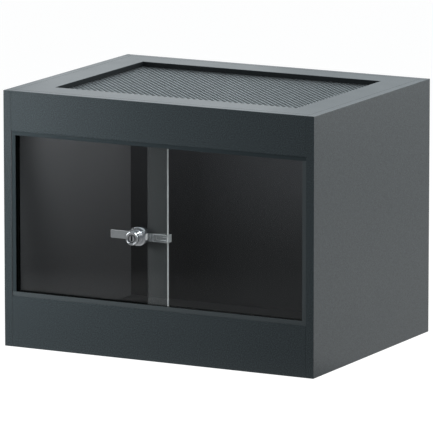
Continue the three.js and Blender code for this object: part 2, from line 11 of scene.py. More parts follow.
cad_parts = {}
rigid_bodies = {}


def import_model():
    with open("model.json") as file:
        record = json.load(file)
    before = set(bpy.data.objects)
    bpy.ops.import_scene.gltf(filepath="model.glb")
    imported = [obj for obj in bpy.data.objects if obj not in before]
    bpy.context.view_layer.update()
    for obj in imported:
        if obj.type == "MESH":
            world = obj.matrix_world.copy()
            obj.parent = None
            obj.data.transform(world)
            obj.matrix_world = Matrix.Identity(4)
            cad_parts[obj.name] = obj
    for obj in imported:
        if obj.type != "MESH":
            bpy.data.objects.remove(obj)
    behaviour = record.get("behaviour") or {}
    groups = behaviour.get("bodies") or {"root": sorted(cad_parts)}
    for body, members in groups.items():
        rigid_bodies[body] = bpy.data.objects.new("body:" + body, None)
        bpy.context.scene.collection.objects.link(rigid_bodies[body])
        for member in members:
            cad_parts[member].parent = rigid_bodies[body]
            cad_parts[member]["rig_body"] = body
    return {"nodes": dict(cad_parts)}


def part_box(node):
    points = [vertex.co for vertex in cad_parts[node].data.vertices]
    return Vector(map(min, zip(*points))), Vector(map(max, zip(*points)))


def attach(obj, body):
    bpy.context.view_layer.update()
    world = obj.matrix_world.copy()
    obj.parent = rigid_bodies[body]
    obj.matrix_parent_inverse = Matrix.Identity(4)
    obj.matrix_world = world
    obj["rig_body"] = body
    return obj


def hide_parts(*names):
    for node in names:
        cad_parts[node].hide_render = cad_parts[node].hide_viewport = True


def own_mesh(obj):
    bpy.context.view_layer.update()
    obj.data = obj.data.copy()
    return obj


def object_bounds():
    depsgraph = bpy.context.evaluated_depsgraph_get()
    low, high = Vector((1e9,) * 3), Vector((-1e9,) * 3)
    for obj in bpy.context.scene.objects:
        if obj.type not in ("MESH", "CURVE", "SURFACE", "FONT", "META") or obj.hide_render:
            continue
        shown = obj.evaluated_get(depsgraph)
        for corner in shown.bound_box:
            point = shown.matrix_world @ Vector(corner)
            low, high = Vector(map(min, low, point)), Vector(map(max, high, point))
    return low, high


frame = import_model()
nodes = frame["nodes"]
scene = bpy.context.scene
cad_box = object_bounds()

# ---------------------------------------------------------------- camera
# The photograph was taken from far off with a long lens, from the right of the front and a little above the
# top edge. The cabinet's corners were fitted to give the angles, the distance and the lens.

VIEW_AZIMUTH = math.radians(27.638)
VIEW_ELEVATION = math.radians(10.530)
VIEW_ROLL = math.radians(-0.026)
VIEW_DISTANCE = 10.3014
VIEW_ASIDE, VIEW_UPWARD = -0.002426, -0.008014
SENSOR = 36.0
PHOTO_PIXELS = 433
FOCAL_PIXELS = 5916.4
VIEW_CENTRE = Vector((0, 0, 0.225))
CLIP_END = 100

backward = Vector((
    math.sin(VIEW_AZIMUTH) * math.cos(VIEW_ELEVATION),
    -math.cos(VIEW_AZIMUTH) * math.cos(VIEW_ELEVATION),
    math.sin(VIEW_ELEVATION),
))
rightward = Vector((math.cos(VIEW_AZIMUTH), math.sin(VIEW_AZIMUTH), 0))
upward = backward.cross(rightward)
lens = bpy.data.cameras.new("camera")
lens.sensor_width = SENSOR
lens.lens = FOCAL_PIXELS / PHOTO_PIXELS * SENSOR
lens.clip_end = CLIP_END
camera = bpy.data.objects.new("camera", lens)
scene.collection.objects.link(camera)
turn = Matrix((rightward, upward, backward)).transposed().to_quaternion()
camera.rotation_mode = "QUATERNION"
camera.rotation_quaternion = turn @ Quaternion((0, 0, 1), VIEW_ROLL)
camera.location = VIEW_CENTRE + backward * VIEW_DISTANCE + rightward * VIEW_ASIDE + upward * VIEW_UPWARD
scene.camera = camera

# ---------------------------------------------------------------- carcass boards
# 15 mm chipboard faced with a dark anthracite melamine foil, with edging of the same foil. The edging is
# trimmed flush and eased by half a millimetre, which gives each board a thin bright line along its edges.
# Cams and dowels join the boards, and screws hold the back and the mesh's battens.

BOARDS = (
    "left_side_panel", "right_side_panel", "back_panel", "floor_panel", "top_panel", "front_bottom_rail",
    "front_top_rail",
)
BATTENS = ("mesh_batten_front", "mesh_batten_back", "mesh_batten_left", "mesh_batten_right")
EASED_EDGE = 0.0005
SHORTEST_EASED = 0.006  # the rims of drilled holes are made of shorter edges, and stay sharp
SHARP_EDGE = math.radians(30)
SAME_POINT = 1e-6
SAME_PLANE = math.radians(0.5)
FOIL_DARK, FOIL_LIGHT = "23282a", "3e4548"
# Painted light inside: the side panels' pale grey is for the light on them, and the inner foils pale upwards.
INSIDE_DARK, INSIDE_LIGHT, INSIDE_PAINTED_LIGHT = "5d5d5e", "68686a", "7f7f81"
BACK_DARK, BACK_LIGHT, BACK_PAINTED_LIGHT = "2e2e2f", "323233", "535356"
PAINTED_LIGHT_FROM, PAINTED_LIGHT_TO = 0.12, 0.42  # the heights between which the inner foils grow paler
FOIL_GRAIN_MM = 1.8  # the real grain is too fine to show, and is drawn as coarse as it needs
FOIL_CLOUD_MM = 111
FOIL_RELIEF, INNER_RELIEF = 0.3, 0.1
INNER_DISTANCE = 0.1  # the inner faces look at the cabin's middle from further off than this
CUT_EDGE_TILT = 0.3  # the most that a normal of the opening's cut edge tilts up or down
# The opening's cut edge is painted near black, as painted shade.
OPENING_SHADE = "15191b"
OPENING_PORE_MM = 0.91


def linear(colour):
    """A linear RGBA colour from an sRGB hex value."""
    parts = [int(colour[i:i + 2], 16) / 255 for i in (0, 2, 4)]
    return [c / 12.92 if c <= 0.04045 else ((c + 0.055) / 1.055) ** 2.4 for c in parts] + [1]


def add(tree, kind, inputs=None, **settings):
    """Adds a node, sets its properties, and gives each input a value or links it to another node's output."""
    made = tree.nodes.new(kind)
    for key, value in settings.items():
        setattr(made, key, value)
    for key, value in (inputs or {}).items():
        if isinstance(value, bpy.types.NodeSocket):
            tree.links.new(value, made.inputs[key])
        else:
            made.inputs[key].default_value = value
    return made


def bare_material(name):
    """An empty node material and its tree."""
    material = bpy.data.materials.new(name)
    material.use_nodes = True
    material.node_tree.nodes.clear()
    return material, material.node_tree


def dress(piece, *materials):
    """Gives a piece its finishes in place of those it has."""
    piece.data.materials.clear()
    for material in materials:
        piece.data.materials.append(material)


def eased(node, width, shortest, *materials, segments=2):
    """A copy that stands for a CAD node, with the outer edges over the shortest length rounded."""
    shape = bmesh.new()
    shape.from_mesh(nodes[node].data)
    bmesh.ops.remove_doubles(shape, verts=shape.verts, dist=SAME_POINT)
    bmesh.ops.dissolve_limit(shape, angle_limit=SAME_PLANE, verts=shape.verts, edges=shape.edges)
    sharp = [
        e for e in shape.edges
        if e.is_manifold and e.is_convex and e.calc_length() > shortest and e.calc_face_angle() > SHARP_EDGE
    ]
    bmesh.ops.bevel(shape, geom=sharp, offset=width, segments=segments, profile=0.5, affect="EDGES")
    for face in shape.faces:
        face.material_index = 0
        face.smooth = False
    mesh = nodes[node].data.copy()
    shape.to_mesh(mesh)
    shape.free()
    piece = bpy.data.objects.new(node + "_eased", mesh)
    dress(piece, *materials)
    scene.collection.objects.link(piece)
    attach(piece, nodes[node]["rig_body"])
    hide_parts(node)
    return piece


# Melamine foil: resin-soaked paper pressed with a fine pearl texture, so it has a matt speckle and a soft
# sheen that grows bright where the board is seen at a low angle. Inside the cabin the side panels wear a
# pale grey foil, painted light for the light that falls on them, and the other boards a black one, both
# smoother than the outer one and painted paler towards the top, as painted light.
def foil_material(name, dark, light, relief, top=None):
    """Foil speckled between two colours, which turn to a third one, if given, towards the cabin's top, as
    painted light.
    """
    material, tree = bare_material(name)
    place = add(tree, "ShaderNodeTexCoord")
    speckle = add(tree, "ShaderNodeTexNoise", {
        "Vector": place.outputs["Object"], "Scale": 1000 / FOIL_GRAIN_MM, "Detail": 2, "Roughness": 0.6,
    })
    fleck = add(tree, "ShaderNodeMapRange", {
        "Value": speckle.outputs["Fac"], "From Min": 0.36, "From Max": 0.68,
    })
    tone = add(tree, "ShaderNodeMix", {
        "Factor": fleck.outputs["Result"], "A": linear(dark), "B": linear(light),
    }, data_type="RGBA")
    # Painted light: the foil turns paler towards the top.
    if top:
        apart = add(tree, "ShaderNodeSeparateXYZ", {"Vector": place.outputs["Object"]})
        height = add(tree, "ShaderNodeMapRange", {
            "Value": apart.outputs["Z"], "From Min": PAINTED_LIGHT_FROM, "From Max": PAINTED_LIGHT_TO,
        })
        tone = add(tree, "ShaderNodeMix", {
            "Factor": height.outputs["Result"], "A": tone.outputs["Result"], "B": linear(top),
        }, data_type="RGBA")
    cloud = add(tree, "ShaderNodeTexNoise", {
        "Vector": place.outputs["Object"], "Scale": 1000 / FOIL_CLOUD_MM, "Detail": 2,
    })
    sheen = add(tree, "ShaderNodeMapRange", {"Value": cloud.outputs["Fac"], "To Min": 0.26, "To Max": 0.34})
    pearl = add(tree, "ShaderNodeBump", {
        "Height": speckle.outputs["Fac"], "Strength": relief, "Distance": 0.0001,
    })
    skin = add(tree, "ShaderNodeBsdfPrincipled", {
        "Base Color": tone.outputs["Result"], "Roughness": sheen.outputs["Result"],
        "Specular IOR Level": 0.25, "Specular Tint": (0.93, 0.98, 1.0, 1), "Normal": pearl.outputs["Normal"],
    })
    add(tree, "ShaderNodeOutputMaterial", {"Surface": skin.outputs["BSDF"]})
    return material


foil = foil_material("melamine_foil_anthracite", FOIL_DARK, FOIL_LIGHT, FOIL_RELIEF)
inside_foil = foil_material("melamine_foil_grey_painted_light", INSIDE_DARK, INSIDE_LIGHT, INNER_RELIEF, INSIDE_PAINTED_LIGHT)
back_foil = foil_material("melamine_foil_black", BACK_DARK, BACK_LIGHT, INNER_RELIEF, BACK_PAINTED_LIGHT)

# The cut edge round the top's opening is painted dull near black, finely pored: painted shade for its shaded
# walls.
opening_shade, tree = bare_material("painted_shade_opening_edge")
place = add(tree, "ShaderNodeTexCoord")
pores = add(tree, "ShaderNodeTexNoise", {
    "Vector": place.outputs["Object"], "Scale": 1000 / OPENING_PORE_MM, "Detail": 2,
})
dulling = add(tree, "ShaderNodeMapRange", {"Value": pores.outputs["Fac"], "To Min": 0.55, "To Max": 0.75})
dull = add(tree, "ShaderNodeBsdfPrincipled", {
    "Base Color": linear(OPENING_SHADE), "Roughness": dulling.outputs["Result"], "Specular IOR Level": 0.15,
})
add(tree, "ShaderNodeOutputMaterial", {"Surface": dull.outputs["BSDF"]})

# The faces that line the cabin wear the inner foils, and the cut edge round the top's opening its painted
# shade.
cabin = (cad_box[0] + cad_box[1]) / 2
for name in BOARDS + BATTENS:
    inner = inside_foil if name.endswith("side_panel") else back_foil
    board = eased(name, EASED_EDGE, SHORTEST_EASED, foil, inner, opening_shade)
    for face in board.data.polygons:
        out = face.center - cabin
        if name == "top_panel" and abs(face.normal.z) < CUT_EDGE_TILT and face.normal.dot(out) < 0:
            face.material_index = 2
        elif face.normal.dot(out) < -INNER_DISTANCE:
            face.material_index = 1

# ---------------------------------------------------------------- fasteners in the boards
# Zinc-plated countersunk screws, knock-down cams with their bolts, and beech dowels. They are the CAD solids,
# and show only from below, from behind and inside the holes. The lock's pin is zinc-plated too.

ZINC = "b9bcbb"
BEECH_LIGHT, BEECH_DARK = "c9a377", "b58a5c"
BEECH_PORE_MM = 0.5
ZINC_BLOOM_MM = 1.43

# Zinc plate: a cold grey metal, dulled in small patches by its bloom.
zinc, tree = bare_material("zinc_plated_steel")
place = add(tree, "ShaderNodeTexCoord")
bloom = add(tree, "ShaderNodeTexNoise", {
    "Vector": place.outputs["Object"], "Scale": 1000 / ZINC_BLOOM_MM, "Detail": 3,
})
dulling = add(tree, "ShaderNodeMapRange", {"Value": bloom.outputs["Fac"], "To Min": 0.26, "To Max": 0.44})
plate = add(tree, "ShaderNodeBsdfPrincipled", {
    "Base Color": linear(ZINC), "Metallic": 1, "Roughness": dulling.outputs["Result"],
})
add(tree, "ShaderNodeOutputMaterial", {"Surface": plate.outputs["BSDF"]})

# Beech: pale brown, close-grained, with short darker flecks along the dowel.
beech, tree = bare_material("beech_dowel")
place = add(tree, "ShaderNodeTexCoord")
along = add(tree, "ShaderNodeMapping", {"Vector": place.outputs["Object"], "Scale": (0.12, 1, 1)})
fleck = add(tree, "ShaderNodeTexNoise", {
    "Vector": along.outputs["Vector"], "Scale": 1000 / BEECH_PORE_MM, "Detail": 4,
})
wood = add(tree, "ShaderNodeMix", {
    "Factor": fleck.outputs["Fac"], "A": linear(BEECH_DARK), "B": linear(BEECH_LIGHT),
}, data_type="RGBA")
rod = add(tree, "ShaderNodeBsdfPrincipled", {"Base Color": wood.outputs["Result"], "Roughness": 0.62})
add(tree, "ShaderNodeOutputMaterial", {"Surface": rod.outputs["BSDF"]})

for name in nodes:
    if "_screw_" in name or "_cam_" in name or name == "lock_plug_pin":
        dress(nodes[name], zinc)
    elif name.startswith("rail_dowel_"):
        dress(nodes[name], beech)

# ---------------------------------------------------------------- vent mesh
# One sheet of punched aluminium under the top opening, its square holes standing on their corners. It lies in
# a recess and is clamped from below by the battens, so the holes run on under the frame.

MESH_PITCH = 0.00812
MESH_HOLE = 0.0067
MESH_THICKNESS = 0.0003
MESH_METAL = "a0a8aa"
MESH_RIM = 1.7  # the least plain border, both sides together, in hole widths
ROLLING_STREAK_MM = 1.11

# Mill-finish aluminium: pale metal with fine streaks from rolling, which break up its shine.
sheet_metal, tree = bare_material("aluminium_punched_mill")
place = add(tree, "ShaderNodeTexCoord")
rolled = add(tree, "ShaderNodeMapping", {"Vector": place.outputs["Object"], "Scale": (0.05, 1, 1)})
streak = add(tree, "ShaderNodeTexNoise", {
    "Vector": rolled.outputs["Vector"], "Scale": 1000 / ROLLING_STREAK_MM, "Detail": 3,
})
grain = add(tree, "ShaderNodeMapRange", {"Value": streak.outputs["Fac"], "To Min": 0.3, "To Max": 0.5})
metal = add(tree, "ShaderNodeBsdfPrincipled", {
    "Base Color": linear(MESH_METAL), "Metallic": 1, "Roughness": grain.outputs["Result"],
})
add(tree, "ShaderNodeOutputMaterial", {"Surface": metal.outputs["BSDF"]})


def grown(name, tree, **values):
    """The plain mesh that a geometry tree makes from the named values."""
    carrier = bpy.data.objects.new(name + "_carrier", bpy.data.meshes.new(name + "_carrier"))
    scene.collection.objects.link(carrier)
    modifier = carrier.modifiers.new("grow", "NODES")
    modifier.node_group = tree
    sockets = {s.name: s.identifier for s in tree.interface.items_tree if s.in_out == "INPUT"}
    for label, value in values.items():
        modifier[sockets[label]] = value
    bpy.context.view_layer.update()
    ready = carrier.evaluated_get(bpy.context.evaluated_depsgraph_get())
    mesh = bpy.data.meshes.new_from_object(ready)
    bpy.data.objects.remove(carrier)
    piece = bpy.data.objects.new(name, mesh)
    scene.collection.objects.link(piece)
    return piece


# The holes stand on two square lattices, one a step smaller than the other, so that every second row is set
# half a step aside. The outlines of sheet and holes are filled as one face, and raised to the thickness.
tree = bpy.data.node_groups.new("punched_sheet", "GeometryNodeTree")
for label, kind in (
    ("Length", "NodeSocketFloat"), ("Width", "NodeSocketFloat"), ("Pitch", "NodeSocketFloat"),
    ("Hole", "NodeSocketFloat"), ("Thickness", "NodeSocketFloat"), ("Place", "NodeSocketVector"),
    ("Finish", "NodeSocketMaterial"),
):
    tree.interface.new_socket(label, in_out="INPUT", socket_type=kind)
tree.interface.new_socket("Mesh", in_out="OUTPUT", socket_type="NodeSocketGeometry")
given = add(tree, "NodeGroupInput").outputs
outline = add(tree, "GeometryNodeCurvePrimitiveQuadrilateral", {
    "Width": given["Length"], "Height": given["Width"],
})
punch = add(tree, "GeometryNodeCurvePrimitiveQuadrilateral", {
    "Width": given["Hole"], "Height": given["Hole"],
})
step = add(tree, "ShaderNodeMath", {0: given["Pitch"], 1: math.sqrt(2)}, operation="MULTIPLY").outputs[0]
rim = add(tree, "ShaderNodeMath", {0: given["Hole"], 1: MESH_RIM}, operation="MULTIPLY").outputs[0]
lattices = []
for less in (0, 1):
    counts, spans = [], []
    for side in ("Length", "Width"):
        room = add(tree, "ShaderNodeMath", {0: given[side], 1: rim}, operation="SUBTRACT").outputs[0]
        steps = add(tree, "ShaderNodeMath", {0: room, 1: step}, operation="DIVIDE").outputs[0]
        whole = add(tree, "ShaderNodeMath", {0: steps}, operation="FLOOR").outputs[0]
        kept = add(tree, "ShaderNodeMath", {0: whole, 1: float(less)}, operation="SUBTRACT").outputs[0]
        counts.append(add(tree, "ShaderNodeMath", {0: kept, 1: 1.0}, operation="ADD").outputs[0])
        spans.append(add(tree, "ShaderNodeMath", {0: kept, 1: step}, operation="MULTIPLY").outputs[0])
    lattices.append(add(tree, "GeometryNodeMeshGrid", {
        "Size X": spans[0], "Size Y": spans[1], "Vertices X": counts[0], "Vertices Y": counts[1],
    }).outputs["Mesh"])
points = add(tree, "GeometryNodeJoinGeometry")
for lattice in lattices:
    tree.links.new(lattice, points.inputs["Geometry"])
holes = add(tree, "GeometryNodeInstanceOnPoints", {
    "Points": points.outputs["Geometry"], "Instance": punch.outputs["Curve"], "Rotation": (0, 0, math.pi / 4),
})
rings = add(tree, "GeometryNodeRealizeInstances", {"Geometry": holes.outputs["Instances"]})
drawn = add(tree, "GeometryNodeJoinGeometry")
tree.links.new(rings.outputs["Geometry"], drawn.inputs["Geometry"])
tree.links.new(outline.outputs["Curve"], drawn.inputs["Geometry"])
filled = add(tree, "GeometryNodeFillCurve", {"Curve": drawn.outputs["Geometry"]})
raised = add(tree, "GeometryNodeExtrudeMesh", {
    "Mesh": filled.outputs["Mesh"], "Offset Scale": given["Thickness"], "Individual": False,
})
under = add(tree, "GeometryNodeFlipFaces", {"Mesh": filled.outputs["Mesh"]})
both = add(tree, "GeometryNodeJoinGeometry")
tree.links.new(raised.outputs["Mesh"], both.inputs["Geometry"])
tree.links.new(under.outputs["Mesh"], both.inputs["Geometry"])
closed = add(tree, "GeometryNodeMergeByDistance", {
    "Geometry": both.outputs["Geometry"], "Distance": SAME_POINT,
})
moved = add(tree, "GeometryNodeTransform", {
    "Geometry": closed.outputs["Geometry"], "Translation": given["Place"],
})
solid = add(tree, "GeometryNodeRealizeInstances", {"Geometry": moved.outputs["Geometry"]})
painted = add(tree, "GeometryNodeSetMaterial", {
    "Geometry": solid.outputs["Geometry"], "Material": given["Finish"],
})
add(tree, "NodeGroupOutput", {"Mesh": painted.outputs["Geometry"]})

low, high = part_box("vent_mesh")
mesh = grown(
    "vent_mesh_punched", tree, Length=high.x - low.x, Width=high.y - low.y, Pitch=MESH_PITCH, Hole=MESH_HOLE,
    Thickness=MESH_THICKNESS, Place=((low.x + high.x) / 2, (low.y + high.y) / 2, high.z - MESH_THICKNESS),
    Finish=sheet_metal,
)
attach(mesh, "carcass")
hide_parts("vent_mesh")

# ---------------------------------------------------------------- door channels
# Extruded PVC with two glass grooves, glued by their flat backs round the opening. Nothing is mitred: the
# side lengths stand between the lower and the upper one. Behind its front lip each length is lined with a
# near-black fibrous strip, painted shade for the dark groove. The lower and the right length are painted
# paler, as painted light, and the upper and the left one darker, as painted shade.

# Painted light and painted shade: the lit lengths are paler than the shaded ones.
SHADED_DARK, SHADED_LIGHT = "20272a", "2b3336"
LIT_DARK, LIT_LIGHT = "363b3d", "42484a"
GROOVE_SHADE = "090a0a"
LIP_DEPTH = 0.0024
CHANNEL_EASE = 0.00025
DIE_LINE_MM = 0.6
GROOVE_BUMP_MM = 0.33
ACROSS, UPRIGHT = (0.01, 1, 1), (1, 1, 0.01)  # how the die lines are drawn out along each length

# The groove's painted shade: a near-black strip with a fine fibrous bump, which swallows nearly all light.
groove_shade, tree = bare_material("painted_shade_groove")
place = add(tree, "ShaderNodeTexCoord")
groove_grain = add(tree, "ShaderNodeTexNoise", {
    "Vector": place.outputs["Object"], "Scale": 1000 / GROOVE_BUMP_MM, "Detail": 1,
})
groove_bump = add(tree, "ShaderNodeBump", {"Height": groove_grain.outputs["Fac"], "Strength": 0.4, "Distance": 0.0001})
groove_surface = add(tree, "ShaderNodeBsdfPrincipled", {
    "Base Color": linear(GROOVE_SHADE), "Roughness": 0.9, "Specular IOR Level": 0.05,
    "Normal": groove_bump.outputs["Normal"],
})
add(tree, "ShaderNodeOutputMaterial", {"Surface": groove_surface.outputs["BSDF"]})

# Extruded PVC: satin plastic, with faint lines along each length from its die.
for name, stretch, dark, light in (
    ("lower_door_track", ACROSS, LIT_DARK, LIT_LIGHT),
    ("upper_door_track", ACROSS, SHADED_DARK, SHADED_LIGHT),
    ("left_door_channel", UPRIGHT, SHADED_DARK, SHADED_LIGHT),
    ("right_door_channel", UPRIGHT, LIT_DARK, LIT_LIGHT),
):
    plastic, tree = bare_material("pvc_extruded_satin")
    place = add(tree, "ShaderNodeTexCoord")
    along = add(tree, "ShaderNodeMapping", {"Vector": place.outputs["Object"], "Scale": stretch})
    lines = add(tree, "ShaderNodeTexNoise", {
        "Vector": along.outputs["Vector"], "Scale": 1000 / DIE_LINE_MM, "Detail": 2,
    })
    tone = add(tree, "ShaderNodeMix", {
        "Factor": lines.outputs["Fac"], "A": linear(dark), "B": linear(light),
    }, data_type="RGBA")
    relief = add(tree, "ShaderNodeBump", {
        "Height": lines.outputs["Fac"], "Strength": 0.3, "Distance": 0.00005,
    })
    satin = add(tree, "ShaderNodeBsdfPrincipled", {
        "Base Color": tone.outputs["Result"], "Roughness": 0.36, "Specular IOR Level": 0.35,
        "Normal": relief.outputs["Normal"],
    })
    add(tree, "ShaderNodeOutputMaterial", {"Surface": satin.outputs["BSDF"]})
    channel = eased(name, CHANNEL_EASE, SHORTEST_EASED, plastic, groove_shade)
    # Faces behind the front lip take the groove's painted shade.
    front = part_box(name)[0].y
    for face in channel.data.polygons:
        if face.center.y > front + LIP_DEPTH:
            face.material_index = 1

# ---------------------------------------------------------------- glass doors
# 5 mm float glass with chamfered edges, standing loose in the grooves. The left door's edges are ground and
# the right door's are polished. The strip of the left door that the right one passes carries a faint pale
# film, which is painted light: it lightens the strip where the two panes overlap.

GLASS_TINT = "f4f6f6"
GROUND_EDGE = "eef1f1"
# The ground edge's glow is painted light, for the room's light that the pane leads to its edges.
EDGE_PAINTED_LIGHT = 0.13  # the pane leads the room's light to its edges, which the render's few bounces would lose
GROUND_CHAMFER = 0.0006
HAZE = "b9bdbe"
HAZE_WIDTH = 0.0398
HAZE_STRENGTH, HAZE_SPREAD = 0.033, 0.2
HAZE_PATCH_MM = 33
FROST_MM = 0.4
SQUARE_ON = 0.99  # the least share of a normal along an axis, for a face that is square to it


# Float glass: clear, all but colourless, and a light shadow. Its haze is a thin pale grey film, painted light.
def glass_material(name, hazy_from=None):
    """Clear glass, with a hazy film of painted light to the right of a place across the cabinet where one is
    given.
    """
    material, tree = bare_material(name)
    pane = add(tree, "ShaderNodeBsdfPrincipled", {
        "Base Color": linear(GLASS_TINT), "Roughness": 0.0, "IOR": 1.5, "Transmission Weight": 1.0,
        "Specular Tint": (0.4, 0.4, 0.4, 1),
    })
    clear = add(tree, "ShaderNodeBsdfTransparent", {"Color": linear(GLASS_TINT)})
    ray = add(tree, "ShaderNodeLightPath")
    glass = add(tree, "ShaderNodeMixShader", {
        0: ray.outputs["Is Shadow Ray"], 1: pane.outputs["BSDF"], 2: clear.outputs["BSDF"],
    })
    surface = glass
    if hazy_from is not None:
        place = add(tree, "ShaderNodeTexCoord")
        across = add(tree, "ShaderNodeSeparateXYZ", {"Vector": place.outputs["Object"]})
        before = add(tree, "ShaderNodeMath", {0: across.outputs["X"], 1: hazy_from}, operation="GREATER_THAN")
        film_patches = add(tree, "ShaderNodeTexNoise", {
            "Vector": place.outputs["Object"], "Scale": 1000 / HAZE_PATCH_MM, "Detail": 4,
        })
        patchy = add(tree, "ShaderNodeMapRange", {
            "Value": film_patches.outputs["Fac"], "To Min": HAZE_STRENGTH * (1 - HAZE_SPREAD),
            "To Max": HAZE_STRENGTH * (1 + HAZE_SPREAD),
        })
        amount = add(tree, "ShaderNodeMath", {
            0: before.outputs[0], 1: patchy.outputs["Result"],
        }, operation="MULTIPLY")
        film = add(tree, "ShaderNodeBsdfDiffuse", {"Color": linear(HAZE)})
        surface = add(tree, "ShaderNodeMixShader", {
            0: amount.outputs[0], 1: glass.outputs["Shader"], 2: film.outputs["BSDF"],
        })
    add(tree, "ShaderNodeOutputMaterial", {"Surface": surface.outputs["Shader"]})
    return material


# Ground glass: its pits scatter the light that the pane leads to them, so the edge shows as a pale line; that
# light is painted in as a faint glow.
ground_edge_glow, tree = bare_material("glass_ground_edge_painted_glow")
place = add(tree, "ShaderNodeTexCoord")
frost = add(tree, "ShaderNodeTexNoise", {
    "Vector": place.outputs["Object"], "Scale": 1000 / FROST_MM, "Detail": 2,
})
frosting = add(tree, "ShaderNodeBump", {"Height": frost.outputs["Fac"], "Strength": 0.4, "Distance": 0.00005})
scattering = add(tree, "ShaderNodeBsdfPrincipled", {
    "Base Color": linear(GROUND_EDGE), "Roughness": 0.5, "IOR": 1.5, "Transmission Weight": 0.1,
    "Emission Color": linear(GROUND_EDGE), "Emission Strength": EDGE_PAINTED_LIGHT,
    "Normal": frosting.outputs["Normal"],
})
add(tree, "ShaderNodeOutputMaterial", {"Surface": scattering.outputs["BSDF"]})

# The left door's strip that the right door passes takes the film of painted light.
overlap_glass = glass_material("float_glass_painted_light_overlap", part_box("left_glass_door")[1].x - HAZE_WIDTH)
clear_glass = glass_material("float_glass_clear")
for name, material, edge in (
    ("left_glass_door", overlap_glass, ground_edge_glow), ("right_glass_door", clear_glass, clear_glass),
):
    door = eased(name, GROUND_CHAMFER, SHORTEST_EASED, material, edge, segments=1)
    for face in door.data.polygons:
        face.material_index = 0 if abs(face.normal.y) > SQUARE_ON else 1

# ---------------------------------------------------------------- showcase lock
# The hook bar is chromed steel strip, toothed at its tail and bent round the left door's edge over a vinyl
# liner. The body is a chromed zinc casting with a turned barrel, which slides onto the bar and stops the
# right door. Inside are the key plug, a brass pawl and its spring.

CHROME = "e2e4e7"
STRIP = "b9bcbe"
HIGHLIGHT_PALE = "f0f1f2"
VINYL = "17191a"
PLUG_SHADE = "0e0f10"
BRASS = "c8a55a"
RIPPLE_MM, SCRATCH_MM, HIGHLIGHT_GRAIN_MM = 3.85, 0.385, 0.625
VINYL_PORE_MM, PLUG_BUMP_MM, TURNING_MM = 0.667, 0.833, 0.556
BAR_EASE = 0.0005
SHORTEST_BAR_EDGE = 0.0019
CASTING_EASE = 0.001
PLUG_EASE = 0.0009
SHORTEST_RIM_EDGE = 0.0005
ROUND_STEP = math.radians(32)  # facets that meet at less than this are shaded as one round
NEARLY_SQUARE = 0.97  # as SQUARE_ON, for fronts whose first ring of easing belongs to them
FLAT_DEPTH = 0.001

# Chrome plate on a polished casting: a near mirror, whose slight waviness breaks up its highlights.
chrome, tree = bare_material("chrome_plate")
place = add(tree, "ShaderNodeTexCoord")
ripple = add(tree, "ShaderNodeTexNoise", {
    "Vector": place.outputs["Object"], "Scale": 1000 / RIPPLE_MM, "Detail": 2,
})
waviness = add(tree, "ShaderNodeBump", {
    "Height": ripple.outputs["Fac"], "Strength": 0.25, "Distance": 0.00005,
})
bright = add(tree, "ShaderNodeBsdfPrincipled", {
    "Base Color": linear(CHROME), "Metallic": 1, "Roughness": 0.1, "Normal": waviness.outputs["Normal"],
})
add(tree, "ShaderNodeOutputMaterial", {"Surface": bright.outputs["BSDF"]})

# The strip's chrome lies over brushed steel, which leaves it less sharp, and it is a little darker, as
# painted shade for the dim room that it mirrors.
strip, tree = bare_material("chrome_over_brushed_steel")
place = add(tree, "ShaderNodeTexCoord")
brushed = add(tree, "ShaderNodeMapping", {"Vector": place.outputs["Object"], "Scale": (0.03, 1, 1)})
scratch = add(tree, "ShaderNodeTexNoise", {
    "Vector": brushed.outputs["Vector"], "Scale": 1000 / SCRATCH_MM, "Detail": 2,
})
brush = add(tree, "ShaderNodeMapRange", {"Value": scratch.outputs["Fac"], "To Min": 0.14, "To Max": 0.26})
brushing = add(tree, "ShaderNodeBsdfPrincipled", {
    "Base Color": linear(STRIP), "Metallic": 0.82, "Roughness": brush.outputs["Result"],
})
add(tree, "ShaderNodeOutputMaterial", {"Surface": brushing.outputs["BSDF"]})

# The hook's edges and steps, and the flat on the body's right, are pale and half matt: a painted highlight.
# They scatter the light and look pale from everywhere.
highlight_edge, tree = bare_material("chrome_painted_highlight")
place = add(tree, "ShaderNodeTexCoord")
highlight_grain = add(tree, "ShaderNodeTexNoise", {
    "Vector": place.outputs["Object"], "Scale": 1000 / HIGHLIGHT_GRAIN_MM, "Detail": 2,
})
highlight_roughness = add(tree, "ShaderNodeMapRange", {"Value": highlight_grain.outputs["Fac"], "To Min": 0.28, "To Max": 0.42})
pale = add(tree, "ShaderNodeBsdfPrincipled", {
    "Base Color": linear(HIGHLIGHT_PALE), "Metallic": 0.15, "Roughness": highlight_roughness.outputs["Result"],
})
add(tree, "ShaderNodeOutputMaterial", {"Surface": pale.outputs["BSDF"]})

# Vinyl: soft and matt, with fine pores.
vinyl, tree = bare_material("vinyl_liner")
place = add(tree, "ShaderNodeTexCoord")
pores = add(tree, "ShaderNodeTexNoise", {
    "Vector": place.outputs["Object"], "Scale": 1000 / VINYL_PORE_MM, "Detail": 2,
})
skin = add(tree, "ShaderNodeBump", {"Height": pores.outputs["Fac"], "Strength": 0.4, "Distance": 0.0001})
soft = add(tree, "ShaderNodeBsdfPrincipled", {
    "Base Color": linear(VINYL), "Roughness": 0.7, "Normal": skin.outputs["Normal"],
})
add(tree, "ShaderNodeOutputMaterial", {"Surface": soft.outputs["BSDF"]})

